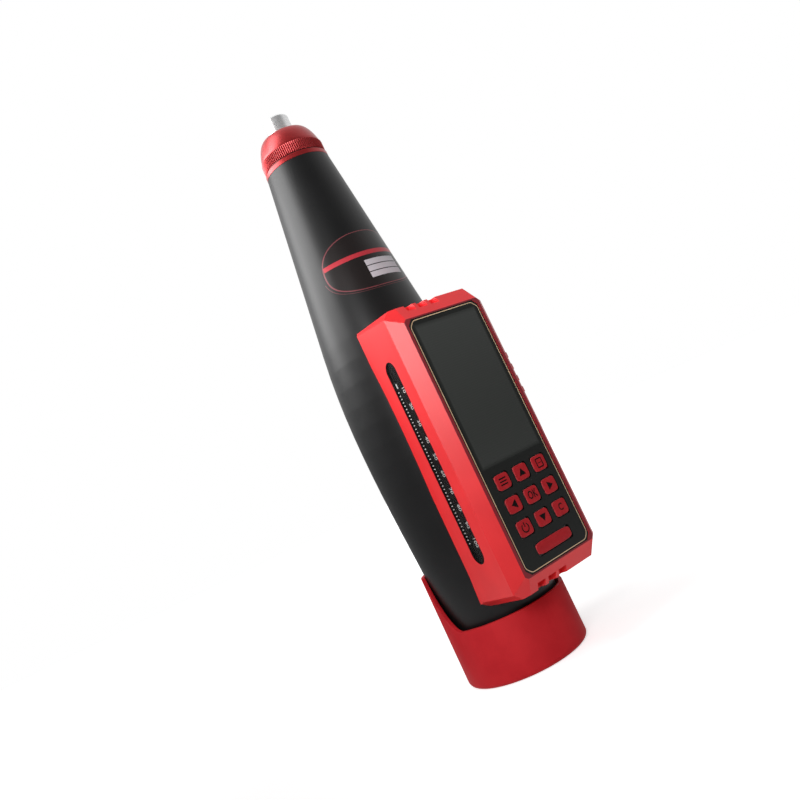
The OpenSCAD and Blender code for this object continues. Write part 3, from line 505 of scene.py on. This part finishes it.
def grid_faces(rows, columns, wrap_rows=False, wrap_columns=False):
    """Quads between the neighbours of a grid of rows by columns, closed around where it wraps."""
    row_starts = np.arange(rows if wrap_rows else rows - 1)
    column_starts = np.arange(columns if wrap_columns else columns - 1)
    row, column = (index.ravel() for index in np.meshgrid(row_starts, column_starts, indexing="ij"))
    here = row * columns
    above = (row + 1) % rows * columns
    beside = (column + 1) % columns
    return np.stack([here + column, here + beside, above + beside, above + column], axis=1)


def stacked_rings(rings):
    """Points and faces of a closed form through rings of equal length, its two end rings filled flat."""
    count, around = rings.shape[:2]
    faces = grid_faces(count, around, wrap_columns=True).tolist()
    faces.append(list(range(around))[::-1])
    faces.append(list(range((count - 1) * around, count * around)))
    return rings.reshape(-1, 3), faces


def quadratic(start, pull, end, t):
    """Points of the curve (1-t)^2 start + 2t(1-t) pull + t^2 end."""
    return (1 - t) ** 2 * start + 2 * t * (1 - t) * pull + t ** 2 * end


def rounded_outline(corners, radius):
    """A closed outline whose corners are each cut off by a quadratic curve.

    The curve starts and ends a radius from the corner, or less where a side is short.
    """
    steps = 4
    longest_share = 0.45
    corners = np.asarray(corners, float)
    before = np.roll(corners, 1, axis=0) - corners
    after = np.roll(corners, -1, axis=0) - corners
    length_before = np.linalg.norm(before, axis=1, keepdims=True)
    length_after = np.linalg.norm(after, axis=1, keepdims=True)
    cut = np.minimum(radius, longest_share * np.minimum(length_before, length_after))
    start = corners + before / length_before * cut
    end = corners + after / length_after * cut
    t = np.linspace(0, 1, steps + 1)[None, :, None]
    return quadratic(start[:, None], corners[:, None], end[:, None], t).reshape(-1, 2)


# Flat shapes: points and faces before they have a place

def outline_shape(*corners):
    """One face through corners that are given in millimetres."""
    return np.array(corners, float) * MM, [list(range(len(corners)))]


def bar_shape(half_width, bottom, top):
    """A rectangle centred across, with its sizes in millimetres."""
    left, right = -half_width, half_width
    return outline_shape((left, bottom), (right, bottom), (right, top), (left, top))


def text_shape(words, size, width_share=1.0, bolder=0.0):
    """A word, centred and narrowed to a share of its width, with its strokes grown to make it bolder."""
    letters = bpy.data.curves.new("letters", "FONT")
    letters.body = words
    letters.size = size
    letters.offset = bolder
    letters.align_x = "CENTER"
    letters.align_y = "CENTER"
    letters.resolution_u = 3
    holder = bpy.data.objects.new("letters", letters)
    scene.collection.objects.link(holder)
    mesh = bpy.data.meshes.new_from_object(holder.evaluated_get(bpy.context.evaluated_depsgraph_get()))
    points = np.empty(len(mesh.vertices) * 3)
    mesh.vertices.foreach_get("co", points)
    faces = [list(polygon.vertices) for polygon in mesh.polygons]
    bpy.data.objects.remove(holder)
    bpy.data.meshes.remove(mesh)
    bpy.data.curves.remove(letters)
    return points.reshape(-1, 3)[:, :2] * np.array([width_share, 1.0]), faces


def ribbon_shape(points, width, closed):
    """A line of even width: each point moves half the width to both sides of the line there."""
    points = np.asarray(points, float)
    if closed:
        direction = np.roll(points, -1, axis=0) - np.roll(points, 1, axis=0)
    else:
        direction = np.gradient(points, axis=0)
    side = np.stack([direction[:, 1], -direction[:, 0]], axis=1)
    side *= width / 2 / np.linalg.norm(side, axis=1, keepdims=True)
    both = np.stack([points - side, points + side], axis=1)
    return both.reshape(-1, 2), grid_faces(len(points), 2, wrap_rows=closed).tolist()


def arc_points(radius, start, end):
    """Points radius (cos a, sin a) with a from start to end in degrees."""
    count = 24
    angle = np.radians(np.linspace(start, end, count))
    return radius * np.stack([np.cos(angle), np.sin(angle)], axis=1)


def join_shapes(*shapes):
    """Several shapes as one list of points and faces."""
    starts = np.cumsum([0] + [len(points) for points, _ in shapes])
    faces = []
    for (_, shape_faces), start in zip(shapes, starts):
        faces += [[corner + start for corner in face] for face in shape_faces]
    return np.concatenate([points for points, _ in shapes]), faces


def moved(shape, across, along):
    """The shape, shifted."""
    return shape[0] + np.array([across, along]), shape[1]


# Casing

def make_nose(finish):
    """The nose cap turned about Z from a closed profile, with a straight knurl on its band.

    The dome is a quadratic curve from the band to the front. On the band the radius at the angle a is
    r + crest e - depth (1 - cos(n a)) / 2, where e rises from 0 at the band's two ends to 1.
    """
    teeth = 100
    samples_per_tooth = 8
    depth = 0.34 * MM
    crest = 0.1 * MM
    crest_rise = 0.6 * MM
    rows_on_band = 9
    lip_edge = 0.25 * MM
    guide_edge = 0.4 * MM
    dome_pull_in = 1.8 * MM
    dome_rows = 12
    sharp_turn = math.radians(28)
    knurl_radius = LIP_RADIUS - GROOVE_DEPTH / 2
    groove_radius = LIP_RADIUS - GROOVE_DEPTH
    knurl_low = TUBE_FRONT + LIP_HEIGHT + GROOVE_WIDTH
    knurl_high = knurl_low + KNURL_HEIGHT
    back = TUBE_FRONT - SPIGOT_LENGTH
    dome_low = np.array([groove_radius, knurl_high + GROOVE_WIDTH])
    dome_pull = np.array([LIP_RADIUS - dome_pull_in, NOSE_FRONT - SHOULDER_DROP])
    dome_high = np.array([NOSE_FRONT_RADIUS + NOSE_BEVEL, NOSE_FRONT - NOSE_BEVEL])
    dome = quadratic(dome_low, dome_pull, dome_high, np.linspace(0, 1, dome_rows)[:, None])
    profile = np.array([
        (POCKET_RADIUS, back),
        (SPIGOT_RADIUS, back),
        (SPIGOT_RADIUS, TUBE_FRONT),
        (LIP_RADIUS - lip_edge, TUBE_FRONT),
        (LIP_RADIUS, TUBE_FRONT + lip_edge),
        (LIP_RADIUS, TUBE_FRONT + LIP_HEIGHT - lip_edge),
        (LIP_RADIUS - lip_edge, TUBE_FRONT + LIP_HEIGHT),
        (groove_radius, TUBE_FRONT + LIP_HEIGHT),
        (groove_radius, knurl_low),
        *[(knurl_radius, height) for height in np.linspace(knurl_low, knurl_high, rows_on_band)],
        (groove_radius, knurl_high),
        *dome.tolist(),
        (NOSE_FRONT_RADIUS, NOSE_FRONT),
        (GUIDE_RADIUS + guide_edge, NOSE_FRONT),
        (GUIDE_RADIUS, NOSE_FRONT - guide_edge),
        (GUIDE_RADIUS, POCKET_END),
        (POCKET_RADIUS, POCKET_END),
    ])
    angle = np.linspace(0, TURN, teeth * samples_per_tooth, endpoint=False)[:, None]
    radius, height = profile[None, :, 0], profile[None, :, 1]
    on_band = np.isclose(radius, knurl_radius) & (height >= knurl_low) & (height <= knurl_high)
    end_share = np.clip(np.minimum(height - knurl_low, knurl_high - height) / crest_rise, 0, 1)
    tooth = 0.5 + 0.5 * np.cos(teeth * angle)
    turned = radius + np.where(on_band, crest * end_share - depth * (1 - tooth), 0)
    points = np.stack([turned * np.cos(angle), turned * np.sin(angle), height + 0 * angle], axis=-1)
    faces = grid_faces(len(angle), len(profile), wrap_rows=True, wrap_columns=True)
    piece = make_piece("nose_cap_turned", points.reshape(-1, 3), faces, finish, "casing")
    shade_by_angle(piece, sharp_turn)
    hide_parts("nose_cap")


def softened(node, name, width, shortest, finish):
    """A copy of a casing solid with its flat faces joined and its sharp edges bevelled.

    An edge is bevelled where it and all edges at its two ends are longer than the shortest. Where the
    shortest is 0, the piece is shaded smooth.
    """
    flat_turn = math.radians(1.0)
    sharp_turn = math.radians(14)
    smooth = shortest == 0
    piece = merged_copy(node, name, finish)
    mesh = piece.data
    shape = bmesh.new()
    shape.from_mesh(mesh)
    bmesh.ops.dissolve_limit(shape, angle_limit=flat_turn, verts=shape.verts, edges=shape.edges)
    weight = shape.edges.layers.float.new("bevel_weight_edge")
    for edge in shape.edges:
        around = [other.calc_length() for corner in edge.verts for other in corner.link_edges]
        turned = len(edge.link_faces) == 2 and edge.calc_face_angle(0.0) > sharp_turn
        edge[weight] = float(turned and min(around) > shortest)
    shape.to_mesh(mesh)
    shape.free()
    mesh.polygons.foreach_set("use_smooth", np.full(len(mesh.polygons), smooth))
    bevel = piece.modifiers.new("soft_edges", "BEVEL")
    bevel.width = width
    bevel.segments = 2
    bevel.limit_method = "WEIGHT"
    bevel.use_clamp_overlap = True
    bevel.harden_normals = smooth
    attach(piece, "casing")


def make_springs(finish):
    """Merged copies of the springs: the main and impact coils stay fixed where they stand, and the lock
    coil rides on the casing.
    """
    main_coil = merged_copy("main_spring", "main_coil", finish)
    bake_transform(main_coil)
    impact_coil = merged_copy("impact_spring", "impact_coil", finish)
    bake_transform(impact_coil)
    lock_coil = merged_copy("lock_spring", "lock_coil", finish)
    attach(lock_coil, "casing")
    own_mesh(lock_coil)


# Scale

def on_wall(along, rise, depth):
    """A point on the leaning side wall.

    Along runs down the scale towards the boot, rise towards the display and depth inwards.
    """
    sine, cosine = math.sin(WALL_LEAN), math.cos(WALL_LEAN)
    x = WINDOW_X - rise * sine + depth * cosine
    y = WINDOW_Y - rise * cosine - depth * sine
    z = WINDOW_MID - along
    return np.stack(np.broadcast_arrays(x, y, z), axis=-1)


def make_window(finish):
    """The clear window: rings of an obround, a bar with round ends, drawn in at its outer edge."""
    samples_per_end = 33
    roll = 0.2 * MM
    mid_roll = 0.3 * roll
    turn = np.linspace(-math.pi / 2, math.pi / 2, samples_per_end)
    inset = np.array([0, 0, mid_roll, roll])[:, None]
    depth = np.array([PLATE_DEPTH - PLATE_GAP, roll, mid_roll, 0])[:, None]
    radius = WINDOW_HALF - inset
    end = WINDOW_STRAIGHT_HALF + radius * np.cos(turn)
    along = np.concatenate([end, -end], axis=1)
    rise = np.concatenate([radius * np.sin(turn), -radius * np.sin(turn)], axis=1)
    points, faces = stacked_rings(on_wall(along, rise, depth))
    piece = make_piece("scale_glass", points, faces, finish, "casing", smooth=False)
    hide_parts("scale_window")


def scale_place(division):
    """How far along the window a division of the scale lies."""
    return WINDOW_MID - (SCALE_ZERO - division * SCALE_DIVISION)


def print_on_wall(name, shapes, depth, finish):
    """Flat shapes laid on the scale wall as one piece."""
    flat, faces = join_shapes(*shapes)
    points = on_wall(flat[:, 0], flat[:, 1], depth)
    make_piece(name, points, faces, finish, "casing", smooth=False)


def make_scale(finish):
    """Numbers 10 to 100 on the plate, and a dash at every second division on the window's inner face."""
    number_every = 10
    number_size = 3.0 * MM
    number_rise = 1.95 * MM
    dash_every = 2
    dash_rise = -2.8 * MM
    dash = bar_shape(half_width=0.2, bottom=-0.6, top=0.6)
    numbers = []
    for division in range(SCALE_FIRST, SCALE_LAST + 1, number_every):
        number = text_shape(str(division), number_size)
        numbers.append(moved(number, scale_place(division), number_rise))
    print_on_wall("scale_numbers", numbers, PLATE_DEPTH - PRINT_LIFT, finish)
    marked = range(SCALE_FIRST, SCALE_LAST + 1, dash_every)
    dashes = [moved(dash, scale_place(division), dash_rise) for division in marked]
    print_on_wall("scale_dashes", dashes, PLATE_DEPTH - PLATE_GAP + PRINT_LIFT, finish)


# Panel and keys

def make_panel_line(finish):
    """The thin line inside the panel's edge: its outline, moved in and with cut corners rounded."""
    inset = 0.8 * MM
    cut = 2.4 * MM
    corner_radius = 1.0 * MM
    line_width = 0.3 * MM
    low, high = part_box("front_panel")
    left, right = low.x + inset, high.x - inset
    bottom, top = low.z + inset, high.z - inset
    corners = [(left + cut, bottom), (right - cut, bottom), (right, bottom + cut), (right, top - cut),
               (right - cut, top), (left + cut, top), (left, top - cut), (left, bottom + cut)]
    flat, faces = ribbon_shape(rounded_outline(corners, corner_radius), line_width, closed=True)
    points = np.stack([flat[:, 0], np.full(len(flat), low.y - PRINT_LIFT), flat[:, 1]], axis=1)
    make_piece("panel_line", points, faces, finish, "casing", smooth=False)


def make_key(node, finish):
    """A crowned key cap in the space of its solid.

    Each ring is the superellipse |x/a|^n + |z/b|^n = 1 shrunk by an inset; the top falls from its middle
    by crown f^2, where f is the ring's share of the full size, and rolls over into the sides.
    """
    power = 5
    samples_around = 72
    roll_rings = 5
    top_rings = 5
    crown = 0.1 * MM
    roll = 0.28 * MM
    smallest_share = 0.25
    low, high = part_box(node)
    half = np.array([high.x - low.x, high.z - low.z]) / 2
    middle = np.array([high.x + low.x, high.z + low.z]) / 2
    sweep = np.linspace(0, math.pi / 2, roll_rings)
    top_share = np.linspace(1, smallest_share, top_rings + 1)[1:]
    top_inset = roll + (1 - top_share) * (half.min() - roll)
    inset = np.concatenate([[0], roll * (1 - np.cos(sweep)), top_inset])
    drop = np.concatenate([[high.y - low.y], crown + roll * (1 - np.sin(sweep)), crown * top_share ** 2])
    angle = np.linspace(0, TURN, samples_around, endpoint=False)
    bow = np.stack([np.cos(angle), np.sin(angle)], axis=1)
    outline = np.sign(bow) * np.abs(bow) ** (2 / power)
    flat = middle + outline[None] * (half - inset[:, None, None])
    height = np.broadcast_to(low.y + drop[:, None], flat.shape[:2])
    points, faces = stacked_rings(np.stack([flat[..., 0], height, flat[..., 1]], axis=-1))
    piece = make_piece(node + "_cap", points, faces, finish, node)
    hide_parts(node)


def key_legends():
    """The flat mark of each key; the wide one is bare."""
    turn_left = np.array([[0, 1], [-1, 0]])
    up_arrow = outline_shape((-1.85, -1.35), (1.85, -1.35), (0, 1.6))
    left_arrow = up_arrow[0] @ turn_left, up_arrow[1]
    bar_pitch = 1.25 * MM
    bar = bar_shape(half_width=1.9, bottom=-0.28, top=0.28)
    short_bar = bar[0] * 0.5, bar[1]
    sheet_edge, _ = bar_shape(half_width=1.6, bottom=-1.8, top=1.8)
    sheet = ribbon_shape(rounded_outline(sheet_edge, radius=0.4 * MM), width=0.5 * MM, closed=True)
    stem = bar_shape(half_width=0.26, bottom=0.3, top=2.25)
    open_ring = ribbon_shape(arc_points(1.75 * MM, start=-235, end=55), width=0.52 * MM, closed=False)
    bolder = 0.07 * MM
    return {
        "key_top_left": join_shapes(moved(bar, 0, bar_pitch), bar, moved(bar, 0, -bar_pitch)),
        "key_up": up_arrow,
        "key_top_right": join_shapes(sheet, short_bar),
        "key_left": left_arrow,
        "key_ok": text_shape("OK", 4.7 * MM, width_share=0.72, bolder=bolder),
        "key_right": (-left_arrow[0], left_arrow[1]),
        "key_power": join_shapes(open_ring, stem),
        "key_down": (-up_arrow[0], up_arrow[1]),
        "key_clear": text_shape("C", 4.2 * MM, width_share=0.85, bolder=bolder),
    }


def print_on_key(node, shape, finish):
    """A flat mark laid on the middle of a key's top."""
    low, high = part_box(node)
    flat, faces = moved(shape, (low.x + high.x) / 2, (low.z + high.z) / 2)
    height = np.full(len(flat), low.y - PRINT_LIFT)
    points = np.stack([flat[:, 0], height, flat[:, 1]], axis=1)
    make_piece(node + "_legend", points, faces, finish, node, smooth=False)


# Camera, light and floor

def place_camera():
    """The camera at the photograph's place, with its focal length."""
    data = bpy.data.cameras.new("photo_camera")
    data.sensor_width = SENSOR_WIDTH
    data.lens = SENSOR_WIDTH * FOCAL_PIXELS / PICTURE_PIXELS
    data.clip_start = NEAR_CLIP
    camera = bpy.data.objects.new("photo_camera", data)
    turn = Matrix((RIGHT, UP, -FORWARD)).transposed().to_4x4()
    camera.matrix_world = Matrix.Translation(EYE) @ turn
    scene.collection.objects.link(camera)
    scene.camera = camera


def soft_lamp(name, aim, right, up, near, distance, size, spread, power):
    """A square soft box that faces its aim and stands off it by right, up and camera-ward shares."""
    place = aim + distance * (right * RIGHT + up * UP - near * FORWARD)
    data = bpy.data.lights.new(name, "AREA")
    data.size = size
    data.spread = math.radians(spread)
    data.energy = power
    lamp = bpy.data.objects.new(name, data)
    turn = (aim - place).to_track_quat("-Z", "Y").to_matrix().to_4x4()
    lamp.matrix_world = Matrix.Translation(place) @ turn
    scene.collection.objects.link(lamp)


def make_surround():
    """White all round to the camera.

    Mirror rays find it darker behind the camera and at the horizon, and the soft light comes from the
    camera's left.
    """
    mirror_dimming = 0.72
    horizon_level = 0.2
    soft_least = 0.2
    soft_rise = 0.4
    world = bpy.data.worlds.new("surround")
    scene.world = world
    world.use_nodes = True
    tree = NodeTree(world.node_tree)
    camera, seen = tree.light_path()
    direction = tree.node("TexCoord", output="Generated")
    camera_left = (-0.45 * RIGHT + 0.1 * UP - 0.88 * FORWARD).normalized()
    behind_camera = tree.ramp(tree.dot(direction, -FORWARD), -0.1, 0.6)
    lift = tree.node("SeparateXYZ", {}, {0: direction}, "Z")
    above_horizon = tree.ramp(lift, 0.0, 0.25)
    mirrored = (1 - mirror_dimming * behind_camera) * (horizon_level + (1 - horizon_level) * above_horizon)
    soft = soft_least + soft_rise * tree.ramp(tree.dot(direction, camera_left), 0.0, 0.9)
    level = (mirrored * seen + soft * (1 - seen)).at_least(camera)
    tree.link(tree.mix(level, BLACK, WHITE), world.node_tree.nodes["Background"].inputs["Color"])


def floor_finish():
    """Pale floor that keeps the shadow near the object and is white to the camera further out.

    Mirror and glass rays find it dark on the camera's side and away from the object.
    """
    near_glow = 0.64
    mirror_dimming = 0.97
    bright_radius = 60 * MM
    finish = Finish("floor_pale", Roughness=0.9, Base_Color=(0.86, 0.86, 0.86, 1), Emission_Strength=1.0)
    camera, seen = finish.light_path()
    distance = (finish.x ** 2 + finish.y ** 2) ** 0.5
    toward_camera = -(FORWARD.x * finish.x + FORWARD.y * finish.y)
    past_bright = toward_camera.at_least(distance - bright_radius)
    unlit = (1 - camera) * finish.ramp(past_bright, 20 * MM, 200 * MM)
    further_out = finish.ramp(distance, 80 * MM, 400 * MM)
    glow = seen * (1 - mirror_dimming * unlit) * (near_glow + (1 - near_glow) * further_out)
    return finish.feed(Emission_Color=finish.mix(glow, BLACK, WHITE))


def make_floor():
    """A wide pale floor."""
    half = 4.0
    corners = [(-half, -half, 0), (half, -half, 0), (half, half, 0), (-half, half, 0)]
    mesh = bpy.data.meshes.new("floor")
    mesh.from_pydata(corners, [], [(0, 1, 2, 3)])
    mesh.materials.append(floor_finish().material)
    floor = bpy.data.objects.new("floor", mesh)
    scene.collection.objects.link(floor)


def light_the_stage():
    """Two soft boxes left of the nose, one above it, one beside the camera and one low at the right.

    The surround and the floor give the rest.
    """
    nose_tip = Vector((0, 0, 258 * MM))
    shoulder = Vector((-24 * MM, -47 * MM, 130 * MM))
    foot = Vector((0, -30 * MM, 50 * MM))
    soft_lamp("left_box", nose_tip, right=-0.95, up=0.136, near=0.28,
              distance=0.3, size=0.24, spread=50, power=0.17)
    soft_lamp("side_box", nose_tip, right=-0.976, up=-0.1, near=-0.2,
              distance=0.3, size=0.24, spread=50, power=0.15)
    soft_lamp("upper_box", nose_tip, right=-0.8, up=0.55, near=0.2,
              distance=0.3, size=0.2, spread=60, power=0.08)
    soft_lamp("camera_box", shoulder, right=-0.34, up=0.2, near=0.92,
              distance=0.33, size=0.1, spread=58, power=0.082)
    soft_lamp("right_box", foot, right=0.95, up=-0.1, near=0.3,
              distance=0.5, size=0.22, spread=180, power=1.5)
    make_surround()
    make_floor()


# The scene

scene.view_settings.view_transform = "Standard"
finishes = make_finishes()
dress_nodes(finishes)
place_camera()
make_nose(finishes["nose_red"])
softened("display_housing", "housing_shell", width=0.45 * MM, shortest=1.0 * MM,
         finish=finishes["housing_red"])
softened("end_boot", "boot_shell", width=0.4 * MM, shortest=0,
         finish=finishes["boot_red"])
make_springs(finishes["spring_steel"])
make_window(finishes["clear_window"])
make_scale(finishes["scale_ink"])
make_panel_line(finishes["line_ink"])
legends = key_legends()
for key in [*legends, "key_wide"]:
    make_key(key, finishes["key_red"])
for key, shape in legends.items():
    print_on_key(key, shape, finishes["legend_ink"])
light_the_stage()
